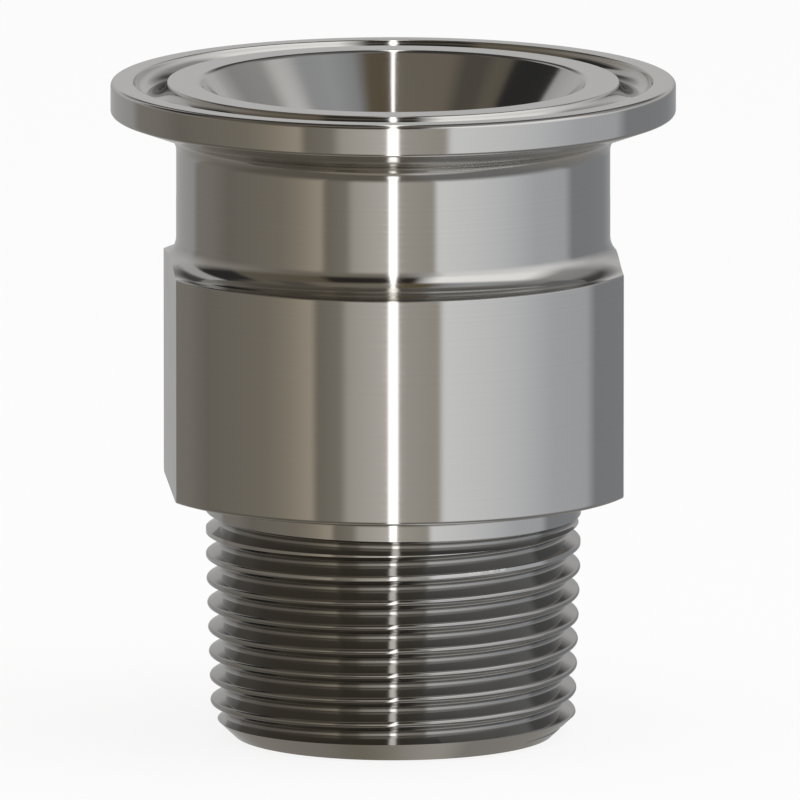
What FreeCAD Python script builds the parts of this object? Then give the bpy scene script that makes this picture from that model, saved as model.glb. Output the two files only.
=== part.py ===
import FreeCAD, Part
import os
import re

import Sketcher

# A pipe thread adapter turned and milled from one bar of stainless steel.
# On top is the flange of a sanitary clamp joint: a flat face with a round-bottomed
# gasket groove, and an underside bevelled for the two halves of the clamp.
# Below it are a round neck, a larger round body with two wrench flats, a short
# plain shank and a right-hand taper pipe thread. A funnel leads from the face
# into the bore, which runs right through.
# The origin is the centre of the thread's end face, and +Z runs up the bore.

# Driving dimensions, in millimetres, degrees or plain ratios.
DIMENSIONS = [
    ("rim_dia", 50.5, "outside of the clamp flange"),
    ("rim_edge", 2.82, "height of the flange's outer edge"),
    ("rim_break", 0.25, "chamfer on the flange's two edges"),
    ("bevel_angle", 20.0, "slope of the flange's underside"),
    ("neck_dia", 38.8, "outside of the neck"),
    ("neck_length", 11.38, "from the body's top to the bevel"),
    ("shoulder_fillet", 1.8, "hollow corner between neck and body"),
    ("body_dia", 43.8, "outside of the body, across its round sides"),
    ("body_length", 20.3, "height of the body"),
    ("body_break", 0.25, "chamfer on the body's round edges"),
    ("flat_width", 40.0, "across the wrench flats"),
    ("shank_dia", 33.6, "plain shank between body and thread"),
    ("shank_length", 2.5, "from the top of the thread to the body"),
    ("thread_length", 19.95, "from the end face to the plain shank"),
    ("thread_top_dia", 33.52, "crests beside the plain shank, where the taper ends"),
    ("thread_crest_dia", 32.54, "crests at the end face, but for the chamfer"),
    ("thread_pitch", 2.2087, "rise of one turn, for 11.5 turns to the inch"),
    ("thread_depth", 1.42, "from crest to root"),
    ("thread_angle", 60.0, "between the thread's two flanks"),
    ("thread_taper", 16.0, "length in which the thread's diameter grows by one"),
    ("thread_lead_in", 1.292, "depth below the end face where the groove starts"),
    ("runout_drop", 0.3, "from the plain shank down to the faded groove"),
    ("runout_turn", 0.42, "part of a turn in which the groove fades out"),
    ("runout_overlap", 6.0, "angle by which the fading cut starts early"),
    ("tool_excess", 0.1, "how far the cutting section stands out of the thread"),
    ("end_dia", 28.6, "thread's end face, inside its chamfer"),
    ("end_chamfer_angle", 49.0, "slope of the end chamfer from the axis"),
    ("bore_dia", 25.0, "bore through the threaded end"),
    ("bore_break", 0.4, "chamfer at the bore's lower mouth"),
    ("funnel_dia", 34.6, "mouth of the funnel in the face"),
    ("funnel_angle", 36.0, "slope of the funnel's wall from the axis"),
    ("funnel_break", 0.3, "chamfer at the funnel's mouth"),
    ("gasket_dia", 43.4, "middle of the gasket groove"),
    ("gasket_width", 3.0, "width of the gasket groove in the face"),
    ("gasket_depth", 1.4, "depth of the gasket groove"),
    ("gasket_break", 0.15, "chamfer on the gasket groove's edges"),
]

# Heights above the end face and other lengths, worked out from the sheet.
BODY_BOTTOM = "(thread_length + shank_length)"
BODY_TOP = f"({BODY_BOTTOM} + body_length)"
BEVEL_BOTTOM = f"({BODY_TOP} + neck_length)"
RIM_BOTTOM = f"({BEVEL_BOTTOM} + (rim_dia - neck_dia) / 2 * tan(bevel_angle * 1deg))"
FACE = f"({RIM_BOTTOM} + rim_edge)"
TAPER_TOP = "((thread_top_dia - thread_crest_dia) * thread_taper)"
CHAMFER_SLOPE = "tan(end_chamfer_angle * 1deg)"
CHAMFER_TOP = f"((thread_crest_dia - end_dia) / 2 / ({CHAMFER_SLOPE} - 1 / (2 * thread_taper)))"
ROOT_RADIUS = "(thread_crest_dia / 2 - thread_depth)"
FUNNEL_BOTTOM = f"({FACE} - (funnel_dia - bore_dia) / 2 / tan(funnel_angle * 1deg))"
RUNOUT_HEIGHT = "(thread_length - runout_drop)"
GROOVE_RISE = f"({RUNOUT_HEIGHT} + thread_lead_in)"
FLANK_SLOPE = "tan(thread_angle / 2 * 1deg)"
SECTION_DEPTH = "(thread_depth + tool_excess)"
GASKET_RADIUS = "((gasket_width ^ 2 / 4 + gasket_depth ^ 2) / (2 * gasket_depth))"
GASKET_REACH = f"asin(gasket_width / 2 / {GASKET_RADIUS})"

doc = FreeCAD.newDocument("clamp_adapter")
sheet = doc.addObject("Spreadsheet::Sheet", "Sizes")
for row, (alias, value, meaning) in enumerate(DIMENSIONS, start=1):
    sheet.set(f"A{row}", alias)
    sheet.set(f"B{row}", str(value))
    sheet.set(f"C{row}", meaning)
    sheet.setAlias(f"B{row}", alias)
doc.recompute()

ALIASES = "|".join(alias for alias, value, meaning in DIMENSIONS)


def tied(text):
    """The expression with each alias pointed at the sheet."""
    return re.sub(rf"\b({ALIASES})\b", r"Sizes.\1", text)


def worked_out(text):
    """The expression's value as a plain number."""
    result = sheet.evalExpression(tied(text))
    return float(getattr(result, "Value", result))


def bind(feature, **properties):
    """Ties properties of a feature to expressions on the sheet."""
    for name, text in properties.items():
        feature.setExpression(name, tied(text))


def origin_feature(body, role):
    return next(item for item in body.Origin.OriginFeatures if item.Role == role)


def new_sketch(body, name, role="XZ_Plane"):
    sketch = body.newObject("Sketcher::SketchObject", name)
    sketch.AttachmentSupport = [(origin_feature(body, role), "")]
    sketch.MapMode = "FlatFace"
    return sketch


def pin_point(sketch, geometry, end, across, up):
    """Ties a point of a sketch to two expressions, across and up from its origin."""
    for kind, text in (("DistanceX", across), ("DistanceY", up)):
        pin = Sketcher.Constraint(kind, -1, 1, geometry, end, worked_out(text))
        index = sketch.addConstraint(pin)
        sketch.setExpression(f"Constraints[{index}]", tied(text))


def draw_polygon(sketch, corners):
    """A closed outline whose corners are pairs of expressions."""
    points = [FreeCAD.Vector(worked_out(across), worked_out(up), 0) for across, up in corners]
    first = sketch.GeometryCount
    count = len(points)
    for index, point in enumerate(points):
        sketch.addGeometry(Part.LineSegment(point, points[(index + 1) % count]), False)
    for index, (across, up) in enumerate(corners):
        following = first + (index + 1) % count
        sketch.addConstraint(Sketcher.Constraint("Coincident", first + index, 2, following, 1))
        pin_point(sketch, first + index, 1, across, up)


def revolve(body, kind, name, sketch):
    feature = body.newObject(f"PartDesign::{kind}", name)
    feature.Profile = sketch
    feature.ReferenceAxis = (origin_feature(body, "Z_Axis"), [""])
    feature.Angle = 360
    doc.recompute()
    return feature


def ring_edges(feature, rings):
    """Names of the circular edges at the given diameters and heights."""
    wanted = [(worked_out(diameter) / 2, worked_out(height)) for diameter, height in rings]
    names = []
    for number, edge in enumerate(feature.Shape.Edges, start=1):
        if not isinstance(edge.Curve, Part.Circle):
            continue
        for radius, height in wanted:
            apart = abs(edge.Curve.Radius - radius) + abs(edge.Curve.Center.z - height)
            if apart < 1e-5:
                names.append(f"Edge{number}")
    return names


def dress(body, name, rings, size):
    """A chamfer on circular edges of the body so far."""
    base = body.Tip
    feature = body.newObject("PartDesign::Chamfer", name)
    feature.Base = (base, ring_edges(base, rings))
    bind(feature, Size=size)
    doc.recompute()


def shoulder_cove():
    """The hollow corner from the body's top up to the neck, as short cones."""
    for step in range(5):
        angle = 90 - 22.5 * step
        yield (f"neck_dia / 2 + shoulder_fillet * (1 - cos({angle} * 1deg))",
               f"{BODY_TOP} + shoulder_fillet * (1 - sin({angle} * 1deg))")


def turned_blank(body):
    """The bar turned to its outside shape, thread crests included."""
    sketch = new_sketch(body, "BlankProfile")
    draw_polygon(sketch, [
        ("0", "0"),
        ("end_dia / 2", "0"),
        (f"end_dia / 2 + {CHAMFER_TOP} * {CHAMFER_SLOPE}", CHAMFER_TOP),
        ("thread_top_dia / 2", TAPER_TOP),
        ("thread_top_dia / 2", "thread_length"),
        ("shank_dia / 2", "thread_length"),
        ("shank_dia / 2", BODY_BOTTOM),
        ("body_dia / 2", BODY_BOTTOM),
        ("body_dia / 2", BODY_TOP),
        *shoulder_cove(),
        ("neck_dia / 2", BEVEL_BOTTOM),
        ("rim_dia / 2", RIM_BOTTOM),
        ("rim_dia / 2", FACE),
        ("0", FACE),
    ])
    revolve(body, "Revolution", "TurnedBlank", sketch)
    dress(body, "RimBreak", [("rim_dia", RIM_BOTTOM), ("rim_dia", FACE)], "rim_break")
    dress(body, "BodyBreak", [("body_dia", BODY_BOTTOM), ("body_dia", BODY_TOP)], "body_break")


def bore_and_funnel(body):
    """The bore from the threaded end and the funnel that opens it to the face."""
    sketch = new_sketch(body, "BoreProfile")
    draw_polygon(sketch, [
        ("0", "0"),
        ("bore_dia / 2 + bore_break", "0"),
        ("bore_dia / 2", "bore_break"),
        ("bore_dia / 2", FUNNEL_BOTTOM),
        ("funnel_dia / 2", FACE),
        ("0", FACE),
    ])
    revolve(body, "Groove", "Bore", sketch)
    dress(body, "FunnelBreak", [("funnel_dia", FACE)], "funnel_break")


def gasket_groove(body):
    """The ring in the face that seats the gasket's bead: a round bottom in short cones."""
    sketch = new_sketch(body, "GasketProfile")
    centre = f"{FACE} - gasket_depth + {GASKET_RADIUS}"
    draw_polygon(sketch, [
        (f"gasket_dia / 2 + {GASKET_RADIUS} * sin({share} * {GASKET_REACH})",
         f"{centre} - {GASKET_RADIUS} * cos({share} * {GASKET_REACH})")
        for share in (1.0, 0.6, 0.2, -0.2, -0.6, -1.0)])
    revolve(body, "Groove", "GasketGroove", sketch)
    rings = [("gasket_dia - gasket_width", FACE), ("gasket_dia + gasket_width", FACE)]
    dress(body, "GasketBreak", rings, "gasket_break")


def wrench_flats(body):
    """Two parallel flats milled down the body, through the shoulder's fillet."""
    sketch = new_sketch(body, "FlatsProfile", "XY_Plane")
    bind(sketch, **{"AttachmentOffset.Base.z": f"{BODY_TOP} + shoulder_fillet"})
    for side in (1, -1):
        draw_polygon(sketch, [
            (f"{side} * flat_width / 2", f"{side} * body_dia / 2"),
            (f"{side} * flat_width / 2", f"{-side} * body_dia / 2"),
            (f"{side} * body_dia / 2", f"{-side} * body_dia / 2"),
            (f"{side} * body_dia / 2", f"{side} * body_dia / 2"),
        ])
    pocket = body.newObject("PartDesign::Pocket", "WrenchFlats")
    pocket.Profile = sketch
    pocket.Type = "Length"
    bind(pocket, Length="body_length + shoulder_fillet")
    doc.recompute()


def groove_section(body, name, root_radius, height):
    """The thread's cutting section: a sharp root that opens outwards."""
    sketch = new_sketch(body, name)
    mouth_half = f"{SECTION_DEPTH} * {FLANK_SLOPE}"
    mouth_radius = f"{root_radius} + {SECTION_DEPTH}"
    draw_polygon(sketch, [
        (root_radius, height),
        (mouth_radius, f"{height} - {mouth_half}"),
        (mouth_radius, f"{height} + {mouth_half}"),
    ])
    return sketch


def cut_along(body, name, sketch, path):
    """Cuts the section along a path, upright all the way round."""
    doc.recompute()
    pipe = body.newObject("PartDesign::SubtractivePipe", name)
    pipe.Profile = sketch
    pipe.Spine = (path, [f"Edge{number}" for number in range(1, len(path.Shape.Edges) + 1)])
    pipe.Mode = "Frenet"
    doc.recompute()


def taper_thread(body):
    """The right-hand thread on a tapering helix, up to where the tool stops rising."""
    start_radius = f"({ROOT_RADIUS} - thread_lead_in / (2 * thread_taper))"
    sketch = groove_section(body, "ThreadSection", start_radius, "-thread_lead_in")
    path = doc.addObject("Part::Helix", "ThreadPath")
    path.SegmentLength = 1
    bind(path, Pitch="thread_pitch", Height=GROOVE_RISE, Radius=start_radius,
         Angle="atan(1 / (2 * thread_taper))")
    bind(path, **{"Placement.Base.z": "-thread_lead_in"})
    cut_along(body, "TaperThread", sketch, path)


def thread_runout(body):
    """The groove's end, where the tool is drawn outwards in a flat spiral."""
    end_radius = f"({ROOT_RADIUS} + {RUNOUT_HEIGHT} / (2 * thread_taper))"
    fade = f"(shank_dia / 2 - {end_radius} + tool_excess)"
    start_angle = f"mod({GROOVE_RISE} / thread_pitch; 1) * 360deg - runout_overlap * 1deg"
    sketch = groove_section(body, "RunoutSection", end_radius, RUNOUT_HEIGHT)
    sketch.AttachmentOffset = FreeCAD.Placement(
        FreeCAD.Vector(), FreeCAD.Rotation(FreeCAD.Vector(0, 1, 0), 1))
    bind(sketch, **{"AttachmentOffset.Rotation.Angle": start_angle})
    path = doc.addObject("Part::Spiral", "RunoutPath")
    path.Placement.Rotation = FreeCAD.Rotation(FreeCAD.Vector(0, 0, 1), 1)
    bind(path, Radius=end_radius, Rotations="runout_turn", Growth=f"{fade} / runout_turn")
    bind(path, **{"Placement.Base.z": RUNOUT_HEIGHT, "Placement.Rotation.Angle": start_angle})
    cut_along(body, "ThreadRunout", sketch, path)


def adapter_body():
    body = doc.addObject("PartDesign::Body", "AdapterBody")
    body.Label = "adapter_body"
    turned_blank(body)
    bore_and_funnel(body)
    gasket_groove(body)
    wrench_flats(body)
    taper_thread(body)
    thread_runout(body)
    return body


def check_document():
    for item in doc.Objects:
        if {"Invalid", "Error"} & set(item.State):
            raise RuntimeError(f"{item.Label} failed: {item.State}")


sub_parts = [adapter_body()]
doc.recompute()
check_document()
os.makedirs("parts", exist_ok=True)
for part in sub_parts:
    shape = part.Shape
    if shape.isNull() or not shape.isValid() or len(shape.Solids) != 1:
        raise RuntimeError(f"{part.Label} is not one valid solid")
    shape.exportStep(f"parts/{part.Label}.step")
    print(part.Label, round(shape.Volume, 2), "cubic mm,", shape.BoundBox)
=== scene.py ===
# %% [markdown]
# # A clamp adapter, turned from one bar of stainless steel
#
# The real object joins two kinds of pipe fitting. Its wide flange is held to
# another flange by a clamp, with a gasket between them, and its lower end is a
# male taper pipe thread. It is one piece of bright steel, so almost all that
# the eye sees is form and reflection. This lesson models it the way it is made:
# a profile is turned, two flats are milled, and a thread is cut.

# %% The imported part
import math

import bpy
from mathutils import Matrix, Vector


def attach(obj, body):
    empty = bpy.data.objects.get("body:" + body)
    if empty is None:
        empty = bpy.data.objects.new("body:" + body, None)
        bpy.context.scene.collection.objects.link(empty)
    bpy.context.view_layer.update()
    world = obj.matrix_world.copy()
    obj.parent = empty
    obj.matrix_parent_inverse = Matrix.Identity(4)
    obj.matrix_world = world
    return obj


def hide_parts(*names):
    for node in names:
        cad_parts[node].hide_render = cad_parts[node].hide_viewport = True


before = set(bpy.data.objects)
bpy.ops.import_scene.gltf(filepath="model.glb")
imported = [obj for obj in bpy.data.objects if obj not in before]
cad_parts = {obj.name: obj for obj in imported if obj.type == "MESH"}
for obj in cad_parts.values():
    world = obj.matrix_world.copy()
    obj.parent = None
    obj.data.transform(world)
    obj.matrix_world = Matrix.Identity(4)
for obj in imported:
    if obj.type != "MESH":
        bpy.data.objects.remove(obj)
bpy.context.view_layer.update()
MM = 0.001

# %% [markdown]
# ## Camera
#
# The camera comes first, because every later choice is judged through it. A
# long lens far away keeps the ellipses of the rims as flat as a product
# photograph does. It stands a little left of the front, so that the left wrench
# flat shows as a thin sliver, and it looks down by about ten degrees. It aims at
# a point a little right of the axis, given in millimetres like all sizes here.

# %% Camera
CAMERA_AZIMUTH = math.radians(-3.95)
CAMERA_ELEVATION = math.radians(9.6)
CAMERA_DISTANCE = 3.2
CAMERA_LENS = 1610.4
AIM_RIGHT = 0.608
AIM_HEIGHT = 30.17
toward_camera = Vector((math.sin(CAMERA_AZIMUTH), -math.cos(CAMERA_AZIMUTH), 0.0))
camera_right = Vector((math.cos(CAMERA_AZIMUTH), math.sin(CAMERA_AZIMUTH), 0.0))
aim = camera_right * AIM_RIGHT * MM + Vector((0.0, 0.0, AIM_HEIGHT * MM))
back = toward_camera * math.cos(CAMERA_ELEVATION) + Vector((0, 0, math.sin(CAMERA_ELEVATION)))

bpy.ops.object.select_all(action="DESELECT")
bpy.ops.object.camera_add(location=aim + back * CAMERA_DISTANCE,
                          rotation=back.to_track_quat("Z", "Y").to_euler())
camera = bpy.context.object
camera.name = "camera"
camera.data.sensor_width = 36.0
camera.data.lens = CAMERA_LENS
bpy.context.scene.camera = camera
print("camera", [round(value, 3) for value in camera.location], "lens", camera.data.lens)

# %% [markdown]
# ## Sizes
#
# Every size has a name and is written in millimetres once, so that a reader can
# follow the drawing of the part. Heights are counted from the thread's end
# face, where the adapter stands. The neck is turned in two passes, and the step
# between them is a hundredth of a millimetre, too faint to see from the camera.

# %% Sizes, in metres
RIM_R = 25.25 * MM
RIM_EDGE = 2.82 * MM
BEVEL_ANGLE = math.radians(20)
NECK_R = 19.4 * MM
UPPER_NECK_R = NECK_R - 0.012 * MM
BODY_R = 21.9 * MM
FLAT_OUT = 20.0 * MM
SHANK_R = 16.80 * MM
THREAD_TOP_R = 16.76 * MM
END_R = 14.3 * MM
BORE_R = 12.5 * MM
BORE_BREAK = 0.4 * MM
FUNNEL_R = 17.3 * MM
FUNNEL_ANGLE = math.radians(36)
GASKET_R = 21.7 * MM
GASKET_HALF = 1.5 * MM
GASKET_DEPTH = 1.4 * MM

THREAD_TOP = 19.95 * MM
BODY_BOTTOM = 22.45 * MM
BODY_TOP = 42.75 * MM
BEVEL_BOTTOM = 54.13 * MM
RIM_BOTTOM = BEVEL_BOTTOM + (RIM_R - NECK_R) * math.tan(BEVEL_ANGLE)
FACE = RIM_BOTTOM + RIM_EDGE
FUNNEL_BOTTOM = FACE - (FUNNEL_R - BORE_R) / math.tan(FUNNEL_ANGLE)

EDGE_BREAK = 0.25 * MM
LOWER_BREAK = 0.40 * MM
COVE = 2.35 * MM
BODY_TOP_BREAK = BODY_R - NECK_R - COVE
SHANK_FILLET = 1.0 * MM
NECK_STEP = 48.6 * MM
NECK_STEP_RISE = 0.05 * MM
BEVEL_FILLET = 1.75 * MM
BEVEL_HALF_TURN = math.radians(35)
RIM_BREAK = 0.40 * MM
GASKET_BREAK = 0.15 * MM
FUNNEL_BREAK = 0.3 * MM
FUNNEL_FOOT_BREAK = 0.4 * MM

# %% Sizes of the thread
PITCH = 2.2087 * MM
CREST_R = 16.27 * MM
CREST_ROUND = 0.35 * MM
ROOT_ROUND = 0.30 * MM
FLANK_ANGLE = math.radians(30)
THREAD_DEPTH = PITCH / 2 / math.tan(FLANK_ANGLE) - CREST_ROUND - ROOT_ROUND
TAPER = 1 / 32
TAPER_TOP = (THREAD_TOP_R - CREST_R) / TAPER
LEAD_IN = 1.38 * MM
RUNOUT_BELOW = 0.4 * MM
RUNOUT_HEIGHT = THREAD_TOP - RUNOUT_BELOW
RUNOUT_TURN = 0.95
TOOL_EXCESS = 0.1 * MM
END_ANGLE = math.radians(46.5)
END_SLOPE = math.tan(END_ANGLE)
CHAMFER_TOP = (CREST_R - END_R) / (END_SLOPE - TAPER)
GROOVE_TURNS = 11
TURN_STEPS = 256
print("turns of thread:", round((RUNOUT_HEIGHT + LEAD_IN) / PITCH, 2))

# %% [markdown]
# ## Drawing a line
#
# A turned part could start as a cylinder that is pushed and pulled ring by
# ring. Drawing its outline as a thin line and spinning that round the axis is
# closer to the lathe, and a wrong size is mended in one place. The line starts
# as a small plane merged into one point, and is then pulled out point by point.

# %% Draw a line by extruding a point
def only(piece):
    """Selects one piece and makes it active."""
    bpy.ops.object.select_all(action="DESELECT")
    piece.select_set(True)
    bpy.context.view_layer.objects.active = piece


def draw_loop(name, points):
    """A closed thin line through the points, as a new mesh in edit mode."""
    bpy.ops.object.select_all(action="DESELECT")
    bpy.ops.mesh.primitive_plane_add(size=MM, location=points[0])
    piece = bpy.context.object
    piece.name = name
    bpy.ops.object.transform_apply(location=True, rotation=False, scale=False)
    bpy.ops.object.mode_set(mode="EDIT")
    bpy.ops.mesh.select_all(action="SELECT")
    bpy.ops.mesh.merge(type="CENTER")
    bpy.ops.mesh.select_mode(type="VERT")
    for start, end in zip(points, points[1:] + points[:1]):
        step = Vector(end) - Vector(start)
        bpy.ops.mesh.extrude_vertices_move(TRANSFORM_OT_translate={"value": step})
    bpy.ops.mesh.select_all(action="SELECT")
    bpy.ops.mesh.remove_doubles(threshold=0.001 * MM)
    return piece


# %% Outline of the adapter
def groove_arc(steps):
    """The gasket groove's round bottom, from its outer to its inner edge."""
    radius = (GASKET_HALF ** 2 + GASKET_DEPTH ** 2) / (2 * GASKET_DEPTH)
    centre = FACE - GASKET_DEPTH + radius
    reach = math.asin(GASKET_HALF / radius)
    for index in range(steps + 1):
        angle = reach - 2 * reach * index / steps
        yield (GASKET_R + radius * math.sin(angle), centre - radius * math.cos(angle))


outline = [
    (BORE_R + BORE_BREAK, 0.0),
    (END_R, 0.0),
    (END_R + CHAMFER_TOP * END_SLOPE, CHAMFER_TOP),
    (THREAD_TOP_R, TAPER_TOP),
    (THREAD_TOP_R, THREAD_TOP),
    (SHANK_R, THREAD_TOP),
    (SHANK_R, BODY_BOTTOM),
    (BODY_R, BODY_BOTTOM),
    (BODY_R, BODY_TOP),
    (NECK_R, BODY_TOP),
    (NECK_R, NECK_STEP - NECK_STEP_RISE),
    (UPPER_NECK_R, NECK_STEP),
    (UPPER_NECK_R, BEVEL_BOTTOM),
    (RIM_R, RIM_BOTTOM),
    (RIM_R, FACE),
    *groove_arc(16),
    (FUNNEL_R, FACE),
    (BORE_R, FUNNEL_BOTTOM),
    (BORE_R, BORE_BREAK),
]
adapter = draw_loop("adapter", [(radius, 0.0, height) for radius, height in outline])
print("outline points:", len(outline))

# %% [markdown]
# ## Corners
#
# No turned edge is knife sharp. The tool's nose leaves a hollow corner where
# the neck meets the body and the flange, and outer edges are broken with a
# fine file. Rounding the points of the flat line costs a few vertices, where a
# bevel on the finished solid would touch hundreds of edges. A fillet of a given
# radius starts that radius times the tangent of half its turn from the corner.


# %% Round the corners of the outline
def round_corner(piece, radius, height, size, steps):
    """Rounds the outline's point at one radius and height."""
    bpy.ops.mesh.select_all(action="DESELECT")
    bpy.ops.object.mode_set(mode="OBJECT")
    for vertex in piece.data.vertices:
        place = Vector((radius, 0.0, height))
        vertex.select = (vertex.co - place).length < 0.01 * MM
    found = sum(vertex.select for vertex in piece.data.vertices)
    bpy.ops.object.mode_set(mode="EDIT")
    bpy.ops.mesh.bevel(offset=size, segments=steps, affect="VERTICES", profile=0.5)
    return found


CORNERS = [
    (BORE_R, FUNNEL_BOTTOM, FUNNEL_FOOT_BREAK, 3),
    (SHANK_R, BODY_BOTTOM, SHANK_FILLET, 8),
    (BODY_R, BODY_BOTTOM, LOWER_BREAK, 5),
    (BODY_R, BODY_TOP, BODY_TOP_BREAK, 3),
    (NECK_R, BODY_TOP, COVE, 16),
    (UPPER_NECK_R, BEVEL_BOTTOM, BEVEL_FILLET * math.tan(BEVEL_HALF_TURN), 8),
    (RIM_R, RIM_BOTTOM, EDGE_BREAK, 3),
    (RIM_R, FACE, RIM_BREAK, 5),
    (GASKET_R + GASKET_HALF, FACE, GASKET_BREAK, 2),
    (GASKET_R - GASKET_HALF, FACE, GASKET_BREAK, 2),
    (FUNNEL_R, FACE, FUNNEL_BREAK, 3),
]
rounded = sum(round_corner(adapter, *corner) for corner in CORNERS)
print("rounded corners:", rounded, "of", len(CORNERS))

# %% [markdown]
# ## Turning
#
# Spin carries the line once round the axis, as the lathe does. 256 steps put a
# facet at half a millimetre, which smooth shading then hides. The last step
# lands on the first, so the doubled points are merged.

# %% Spin the outline
bpy.ops.mesh.select_all(action="SELECT")
bpy.ops.mesh.spin(steps=TURN_STEPS, angle=math.tau, center=(0, 0, 0), axis=(0, 0, 1))
bpy.ops.mesh.select_all(action="SELECT")
bpy.ops.mesh.remove_doubles(threshold=0.001 * MM)
bpy.ops.mesh.normals_make_consistent(inside=False)
bpy.ops.object.mode_set(mode="OBJECT")
print("turned blank:", len(adapter.data.polygons), "faces")


# %% [markdown]
# ## Steel
#
# Bare steel has no colour of its own beyond a warm grey, so its finish is all
# in how it spreads reflections. Lathe marks run round the part and spread light
# across them, which anisotropy gives, and a fine bump in rings gives the marks
# that the eye can still find. The small class below lets that be written as sums.

# %% Shader sums
class Value:
    """A number or colour on a shader's wire, used with + - * / as any other."""

    def __init__(self, sheet, socket):
        self.sheet = sheet
        self.socket = socket

    def math(self, operation, *others):
        return self.sheet.node("ShaderNodeMath", {"operation": operation}, self, *others)

    def __add__(self, other):
        return self.math("ADD", other)

    def __mul__(self, other):
        return self.math("MULTIPLY", other)

    def __sub__(self, other):
        return self.math("SUBTRACT", other)

    def __rsub__(self, other):
        return self.sheet.node("ShaderNodeMath", {"operation": "SUBTRACT"}, other, self)

    def __truediv__(self, other):
        return self.math("DIVIDE", other)

    def __pow__(self, other):
        return self.math("POWER", other)

    __radd__ = __add__
    __rmul__ = __mul__


class ShaderSheet:
    """The node tree of one finish or of the world."""

    def __init__(self, owner):
        owner.use_nodes = True
        self.tree = owner.node_tree
        self.tree.nodes.clear()

    def node(self, kind, settings, *values, output=0, **named):
        """Adds a node; values go to its inputs in order, named ones by name."""
        made = self.tree.nodes.new(kind)
        for key, value in settings.items():
            if key == "stops":
                self.set_stops(made.color_ramp, value)
            else:
                setattr(made, key, value)
        for key, value in [*enumerate(values), *named.items()]:
            socket = made.inputs[key if isinstance(key, int) else key.replace("_", " ")]
            if isinstance(value, Value):
                self.tree.links.new(value.socket, socket)
            else:
                socket.default_value = value
        return Value(self, made.outputs[output]) if made.outputs else None

    def set_stops(self, ramp, stops):
        while len(ramp.elements) < len(stops):
            ramp.elements.new(1.0)
        for element, (place, tone) in zip(ramp.elements, stops):
            element.position = place
            element.color = (*tone, 1.0)

    def between(self, low, high, share):
        """A colour between two, by share."""
        mix = self.tree.nodes.new("ShaderNodeMix")
        mix.data_type = "RGBA"
        for name, value in (("Factor_Float", share), ("A_Color", low), ("B_Color", high)):
            socket = next(item for item in mix.inputs if item.identifier == name)
            if isinstance(value, Value):
                self.tree.links.new(value.socket, socket)
            else:
                socket.default_value = value if name == "Factor_Float" else (*value, 1.0)
        result = next(item for item in mix.outputs if item.identifier == "Result_Color")
        return Value(self, result)


# %% A finish of bare steel
STEEL_BRIGHT = (0.66, 0.645, 0.62)
STEEL_DULL = (0.59, 0.575, 0.55)
GRAIN_SCALE = 260.0
SMUDGE_SCALE = 45.0
ROUGHER_BY_MARKS = 0.6
ROUGHER_BY_GRAIN = 0.3
ROUGHER_BY_SMUDGES = 0.4


def steel(name, marks, spacing, depth, roughness, spread, shade=1.0):
    """Steel with tool marks along the height that marks() gives, in metres."""
    material = bpy.data.materials.new(name)
    sheet = ShaderSheet(material)
    place = sheet.node("ShaderNodeTexCoord", {}, output=3)
    along = marks(sheet, place)
    fine = sheet.node("ShaderNodeTexNoise", {"noise_dimensions": "1D"},
                      W=along / spacing, Scale=1.0, Detail=3.0)
    grain = sheet.node("ShaderNodeTexNoise", {"noise_dimensions": "3D"},
                       Vector=place, Scale=GRAIN_SCALE, Detail=4.0)
    smudge = sheet.node("ShaderNodeTexNoise", {"noise_dimensions": "3D"},
                        Vector=place, Scale=SMUDGE_SCALE, Detail=2.0)
    bump = sheet.node("ShaderNodeBump", {}, Strength=1.0, Distance=depth, Height=fine)
    # shade scales both steel colours down; below 1 it paints shade into the steel's colour
    dull, bright = (
        tuple(part * shade for part in colour) for colour in (STEEL_DULL, STEEL_BRIGHT))
    colour = sheet.between(dull, bright, 0.5 + 0.5 * fine)
    rough = roughness * (
        1.0 + ROUGHER_BY_MARKS * (fine - 0.5) + ROUGHER_BY_GRAIN * (grain - 0.5)
        + ROUGHER_BY_SMUDGES * (smudge - 0.5))
    shader = sheet.node(
        "ShaderNodeBsdfPrincipled", {}, Base_Color=colour, Metallic=1.0, Roughness=rough,
        Anisotropic=spread, Anisotropic_Rotation=0.25, Normal=bump)
    sheet.node("ShaderNodeOutputMaterial", {}, shader)
    print("finish", name)
    return material


# %% Directions of the tool marks
RADIUS_SHARE = 0.7


def split_place(sheet, place):
    """The three coordinates of a place, each as a value."""
    split = sheet.tree.nodes.new("ShaderNodeSeparateXYZ")
    sheet.tree.links.new(place.socket, split.inputs[0])
    return [Value(sheet, output) for output in split.outputs]


def ring_marks(sheet, place):
    """Height and radius together, so that marks are rings on walls and faces."""
    x, y, z = split_place(sheet, place)
    return z + RADIUS_SHARE * (x * x + y * y) ** 0.5


def upright_marks(sheet, place):
    """Depth along the flat, for marks that an end mill leaves upright."""
    return split_place(sheet, place)[1]


turned_steel = steel("turned_steel", ring_marks, spacing=0.22 * MM, depth=0.0005 * MM,
                     roughness=0.10, spread=0.6)
milled_steel = steel("milled_steel", upright_marks, spacing=0.30 * MM, depth=0.0015 * MM,
                     roughness=0.20, spread=0.40)
# The thread gets a darker copy of the same steel: painted shade for the darkness deep in its
# grooves.
thread_steel_painted_shade = steel("thread_steel_painted_shade", ring_marks, spacing=0.30 * MM, depth=0.0004 * MM,
                     roughness=0.07, spread=0.30, shade=0.64)
adapter.data.materials.append(turned_steel)

# %% [markdown]
# ## Wrench flats
#
# Two flats are milled down the body, and the cutter also clips the hollow
# corner above it. A solid block on each side, taken away by a Boolean, is the
# end mill's path. The block brings its own finish to the faces that it leaves.


# %% Mill the flats
MILL_BELOW = 1 * MM
MILL_WIDTH = 8 * MM
MILL_LENGTH = 60 * MM


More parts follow.
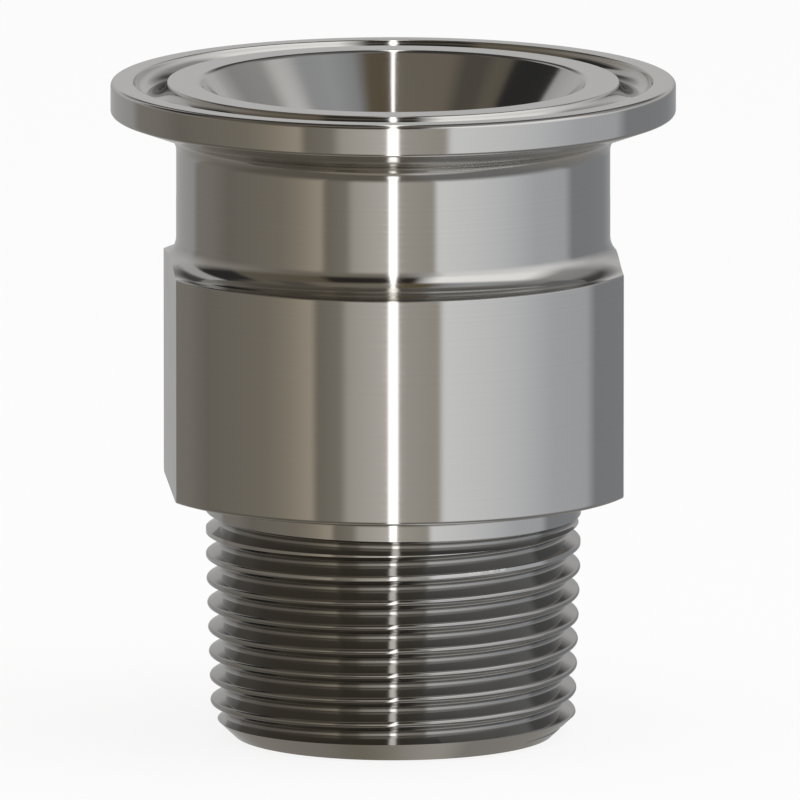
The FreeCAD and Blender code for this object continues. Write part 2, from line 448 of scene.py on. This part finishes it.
def take_away(piece, tool, folded=False):
    """Cuts a tool's solid, which may be folded into itself, out of the piece."""
    cut = piece.modifiers.new("cut", "BOOLEAN")
    cut.operation = "DIFFERENCE"
    cut.solver = "EXACT"
    cut.use_self = folded
    cut.material_mode = "TRANSFER"
    cut.object = tool
    only(piece)
    bpy.ops.object.modifier_apply(modifier=cut.name)
    bpy.data.objects.remove(tool, do_unlink=True)


for side in (1, -1):
    low, high = BODY_BOTTOM - MILL_BELOW, BODY_TOP + COVE
    middle = (side * (FLAT_OUT + MILL_WIDTH / 2), 0.0, (low + high) / 2)
    bpy.ops.object.select_all(action="DESELECT")
    bpy.ops.mesh.primitive_cube_add(
        size=1.0, location=middle, scale=(MILL_WIDTH, MILL_LENGTH, high - low))
    block = bpy.context.object
    bpy.ops.object.transform_apply(location=True, rotation=False, scale=True)
    block.data.materials.append(milled_steel)
    take_away(adapter, block)
flat_faces = sum(abs(face.normal.x) > 0.9999 and face.area > MM ** 2
                 for face in adapter.data.polygons)
print("flat faces over a square millimetre:", flat_faces)

# %% [markdown]
# ## Thread
#
# The thread is a groove of 60 degrees that climbs right-handed round the cone.
# The Screw modifier carries the groove's section up the axis. It can't taper,
# so each point is then moved out by one part in 32 of its height. At the top
# the lathe's tool stops climbing and draws out slowly, so the groove fades away
# in almost a whole turn and leaves a ring. The tool's solid folds into itself
# there, so the Boolean that takes it out of the blank is told to expect that.

# %% Screw the groove's section
HALF_STEP = math.pi / TURN_STEPS
CREST_ANGLES = (60, 45, 30, 15, 4)
ROOT_ANGLES = (20, 40, 60)
crest_sides = [
    (-CREST_ROUND * (1 - math.cos(math.radians(angle))),
     PITCH / 2 - CREST_ROUND * math.sin(math.radians(angle)))
    for angle in CREST_ANGLES]
root_sides = [
    (-THREAD_DEPTH + ROOT_ROUND * (1 - math.cos(math.radians(angle))),
     ROOT_ROUND * math.sin(math.radians(angle)))
    for angle in ROOT_ANGLES]
upper_side = [*root_sides, *crest_sides, (TOOL_EXCESS, crest_sides[-1][1])]
section = [(out, -up) for out, up in upper_side] + upper_side[::-1]
start_height = -LEAD_IN + PITCH * HALF_STEP / math.tau
groove = draw_loop("groove", [
    ((CREST_R + out) * math.cos(HALF_STEP), (CREST_R + out) * math.sin(HALF_STEP),
     start_height + up)
    for out, up in section])
print("depth of thread in mm:", round(THREAD_DEPTH / MM, 3))
bpy.ops.object.mode_set(mode="OBJECT")
screw = groove.modifiers.new("climb", "SCREW")
screw.axis = "Z"
screw.angle = math.tau
screw.screw_offset = PITCH
screw.iterations = GROOVE_TURNS
screw.steps = screw.render_steps = TURN_STEPS
screw.use_merge_vertices = False
only(groove)
bpy.ops.object.modifier_apply(modifier=screw.name)
print("groove points:", len(groove.data.vertices))

# %% Taper it and draw it out at the top
end_turn = (RUNOUT_HEIGHT + LEAD_IN) / PITCH
end_root = CREST_R - THREAD_DEPTH + RUNOUT_HEIGHT * TAPER
draw_out = (SHANK_R - end_root + TOOL_EXCESS) / RUNOUT_TURN
for vertex in groove.data.vertices:
    x, y, z = vertex.co
    radius = math.hypot(x, y)
    step = vertex.index // len(section)
    past = max(0.0, (step + 0.5) / TURN_STEPS - end_turn)
    z -= PITCH * past
    wider = radius + z * TAPER + draw_out * past
    vertex.co = (x * wider / radius, y * wider / radius, z)
bpy.ops.object.mode_set(mode="EDIT")
bpy.ops.mesh.select_all(action="SELECT")
bpy.ops.mesh.fill_holes(sides=0)
bpy.ops.mesh.select_all(action="SELECT")
bpy.ops.mesh.normals_make_consistent(inside=False)
bpy.ops.object.mode_set(mode="OBJECT")
groove.data.materials.append(thread_steel_painted_shade)
take_away(adapter, groove, folded=True)
print("adapter:", len(adapter.data.polygons), "faces after threading")

# %% [markdown]
# ## Shading
#
# The facets are hidden by smooth shading below an angle of 24 degrees, so real
# edges stay crisp. Weighted normals then let the wide walls keep their own
# direction, and only the narrow fillets bend the reflection.

# %% Smooth by angle
SMOOTH_BELOW = math.radians(24)
only(adapter)
bpy.ops.object.shade_smooth_by_angle(angle=SMOOTH_BELOW)
weigh = adapter.modifiers.new("weigh", "WEIGHTED_NORMAL")
weigh.mode = "FACE_AREA"
weigh.weight = 50
weigh.keep_sharp = True
bpy.ops.object.modifier_apply(modifier=weigh.name)
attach(adapter, "root")
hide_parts("adapter_body")
print("triangles:", sum(len(face.vertices) - 2 for face in adapter.data.polygons))

# %% [markdown]
# ## Floor
#
# The photograph was taken on a white sweep, so the floor has no edge in it. The
# camera sees it as almost plain white, mixed with a small share of the lit
# paper, and that share carries the adapter's soft shadow.

# %% Floor
PLAIN_WHITE_SHARE = 0.88
bpy.ops.object.select_all(action="DESELECT")
bpy.ops.mesh.primitive_plane_add(size=6.0, location=(0, 0, 0))
floor = bpy.context.object
floor.name = "floor"
bpy.ops.object.mode_set(mode="EDIT")
bpy.ops.mesh.subdivide(number_cuts=3)
bpy.ops.object.mode_set(mode="OBJECT")
paper = bpy.data.materials.new("white_sweep")
sheet = ShaderSheet(paper)
lit = sheet.node("ShaderNodeBsdfDiffuse", {}, (0.8, 0.8, 0.8, 1.0))
glow = sheet.node("ShaderNodeEmission", {}, (1.0, 1.0, 1.0, 1.0), 1.0)
camera_ray = sheet.node("ShaderNodeLightPath", {})
seen = sheet.node("ShaderNodeMixShader", {}, camera_ray * PLAIN_WHITE_SHARE, lit, glow)
sheet.node("ShaderNodeOutputMaterial", {}, seen)
floor.data.materials.append(paper)
floor.visible_glossy = False
print("floor", tuple(round(value, 2) for value in floor.dimensions))

# %% [markdown]
# ## Studio
#
# Bright steel shows the room and little else. The photographer stood light and
# dark boards round the table, so the walls of the adapter carry upright bands:
# grey at the left, a narrow bright gap beside the camera, and a large pale
# board at the right. The world is painted with the same boards by direction.
# Walls, bevels and hollow corners each look up or down at a slant of their own,
# so the boards stand in seven rings, one above another, from the table to the
# top. A ring is a list of directions in degrees round the table, 0 being the
# camera's and positive ones at its right, each with the tone seen there.

# %% Boards round the table
def tone(level, warmth=0.0):
    """A grey of the given level, a little warmer or cooler."""
    return (level * (1 + warmth), level, level * (1 - 1.6 * warmth))


BOARDS = [
    (-180, tone(0.48)), (-160, tone(0.40)), (-134, tone(0.36)), (-128, tone(0.23, 0.05)),
    (-112, tone(0.22, 0.06)), (-98, tone(0.17, 0.08)),
    (-62, tone(0.21, 0.10)), (-52, tone(0.26, 0.12)), (-39, tone(0.37, 0.12)),
    (-36, tone(0.18, 0.10)),
    (-25, tone(0.23, 0.08)), (-21, tone(0.42, 0.06)), (-5, tone(0.55, 0.04)),
    (5, tone(0.42, 0.05)), (21, tone(0.36, 0.06)),
    (24, tone(0.84, -0.02)), (45, tone(0.76, -0.02)), (60, tone(0.68, -0.03)),
    (82, tone(0.52, -0.04)), (104, tone(0.49, -0.04)), (111, tone(0.27, -0.04)),
    (150, tone(0.27, -0.04)), (180, tone(0.40, -0.01)),
]
LOW = [
    (-180, tone(0.54)), (-140, tone(0.50)), (-115, tone(0.30, 0.05)), (-60, tone(0.18, 0.10)),
    (-30, tone(0.19, 0.10)), (5, tone(0.22, 0.08)), (20, tone(0.45)), (28, tone(0.90, -0.01)),
    (90, tone(0.85, -0.01)), (130, tone(0.55)), (180, tone(0.54)),
]
MIDDLE = [
    (-180, tone(0.04, 0.06)), (-155, tone(0.08)), (-148, tone(0.45)), (-134, tone(0.45)),
    (-131, tone(0.03)), (-100, tone(0.03)), (-95, tone(0.12, 0.12)), (-42, tone(0.11, 0.18)),
    (-36, tone(0.025, 0.10)), (12, tone(0.025, 0.10)), (18, tone(0.60)), (26, tone(1.15)),
    (85, tone(1.05)), (108, tone(0.36)), (140, tone(0.30)), (155, tone(0.08)),
    (180, tone(0.04, 0.06)),
]
HIGH = [
    (-180, tone(0.04)), (-130, tone(0.06)), (-107, tone(0.13, 0.12)), (-88, tone(0.13, 0.12)),
    (-80, tone(0.09, 0.10)), (-66, tone(0.09, 0.10)), (-54, tone(0.16, 0.12)),
    (-2, tone(0.20, 0.10)), (2, tone(0.10, 0.25)), (25, tone(0.10, 0.25)), (38, tone(0.32, -0.03)),
    (60, tone(0.40, -0.03)), (90, tone(0.34, -0.03)), (130, tone(0.20)), (180, tone(0.05)),
]
TOP = [
    (-180, tone(0.04)), (-90, tone(0.05, 0.10)), (-20, tone(0.09, 0.10)), (10, tone(0.11, 0.08)),
    (45, tone(0.22)), (100, tone(0.20)), (180, tone(0.04)),
]
UNDER = [
    (-180, tone(0.30, 0.05)), (-90, tone(0.12, 0.10)), (-15, tone(0.13, 0.10)),
    (10, tone(0.15, 0.08)),
    (26, tone(0.20)), (90, tone(0.20)), (180, tone(0.30, 0.05)),
]
TABLE = [
    (-180, tone(0.26, 0.08)), (-150, tone(0.18, 0.10)), (-90, tone(0.25, 0.10)),
    (-15, tone(0.28, 0.10)),
    (10, tone(0.32, 0.06)), (26, tone(0.60)), (90, tone(0.60)), (145, tone(0.38, 0.04)),
    (180, tone(0.26, 0.08)),
]
world = bpy.data.worlds.new("studio")
bpy.context.scene.world = world
sheet = ShaderSheet(world)
direction = sheet.node("ShaderNodeTexCoord", {})
level = sheet.node("ShaderNodeVectorMath", {"operation": "DOT_PRODUCT"}, direction,
                   (0, 0, 1), output=1)
front = sheet.node("ShaderNodeVectorMath", {"operation": "DOT_PRODUCT"}, direction,
                   tuple(toward_camera), output=1)
right = sheet.node("ShaderNodeVectorMath", {"operation": "DOT_PRODUCT"}, direction,
                   tuple(camera_right), output=1)
turn = right.math("ARCTAN2", front) / math.tau + 0.5


def ring_of(boards):
    """The tones of one ring of boards, by direction round the table."""
    return sheet.node("ShaderNodeValToRGB",
                      {"stops": [((angle + 180) / 360, shade) for angle, shade in boards]}, turn)


def rising(low, high):
    """A share that grows from 0 to 1 between two heights of direction, in degrees."""
    low, high = (math.sin(math.radians(angle)) for angle in (low, high))
    return sheet.node("ShaderNodeMapRange", {}, level, low, high, 0.0, 1.0)


# Each ring above the table, with the heights in degrees where it takes over.
RINGS = [
    (UNDER, -70, -62), (BOARDS, -34, -14), (LOW, -3, 10),
    (MIDDLE, 15, 26), (HIGH, 42, 50), (TOP, 60, 82),
]
print("tones in each ring:", len(TABLE), [len(boards) for boards, low, high in RINGS])

# %% Rings of boards one above another, and the white that the camera sees
room = ring_of(TABLE)
for boards, low, high in RINGS:
    room = sheet.between(room, ring_of(boards), rising(low, high))

# The bright gap is narrower higher up, and it isn't there at the far side.
GAP_LEVEL = 2.6
GAP_NARROWING = 0.65
GAP_FULL, GAP_END = 0.020, 0.050
FAR_SIDE, NEAR_SIDE = -0.85, -0.7
edge = right.math("ABSOLUTE") / (1.0 - GAP_NARROWING * rising(10, 60))
gap = sheet.node("ShaderNodeMapRange", {"interpolation_type": "SMOOTHSTEP"}, edge,
                 GAP_FULL, GAP_END, 1.0, 0.0)
near = sheet.node("ShaderNodeMapRange", {}, front, FAR_SIDE, NEAR_SIDE, 0.0, 1.0)
room = sheet.between(room, tone(GAP_LEVEL), gap * near * rising(-66, -52))
camera_ray = sheet.node("ShaderNodeLightPath", {})
seen = sheet.between(room, (1.0, 1.0, 1.0), camera_ray)
light = sheet.node("ShaderNodeBackground", {}, seen, 1.0)
sheet.node("ShaderNodeOutputWorld", {}, light)
print("world painted")

# %% [markdown]
# ## Lamp
#
# A broad lamp overhead lights the floor and makes the soft shadow. The steel
# doesn't mirror it, because the boards already stand for what it reflects.

# %% Lamp
bpy.ops.object.light_add(type="AREA", location=(0.15, -0.1, 1.2))
lamp = bpy.context.object
lamp.name = "softbox"
lamp.data.shape = "RECTANGLE"
lamp.data.size = 1.4
lamp.data.size_y = 1.0
lamp.data.energy = 14.0
lamp.visible_glossy = False
print("lamp of", lamp.data.energy, "watts")

# %% Deselect all, and a plain view transform
bpy.ops.object.select_all(action="DESELECT")
bpy.context.scene.view_settings.view_transform = "Standard"
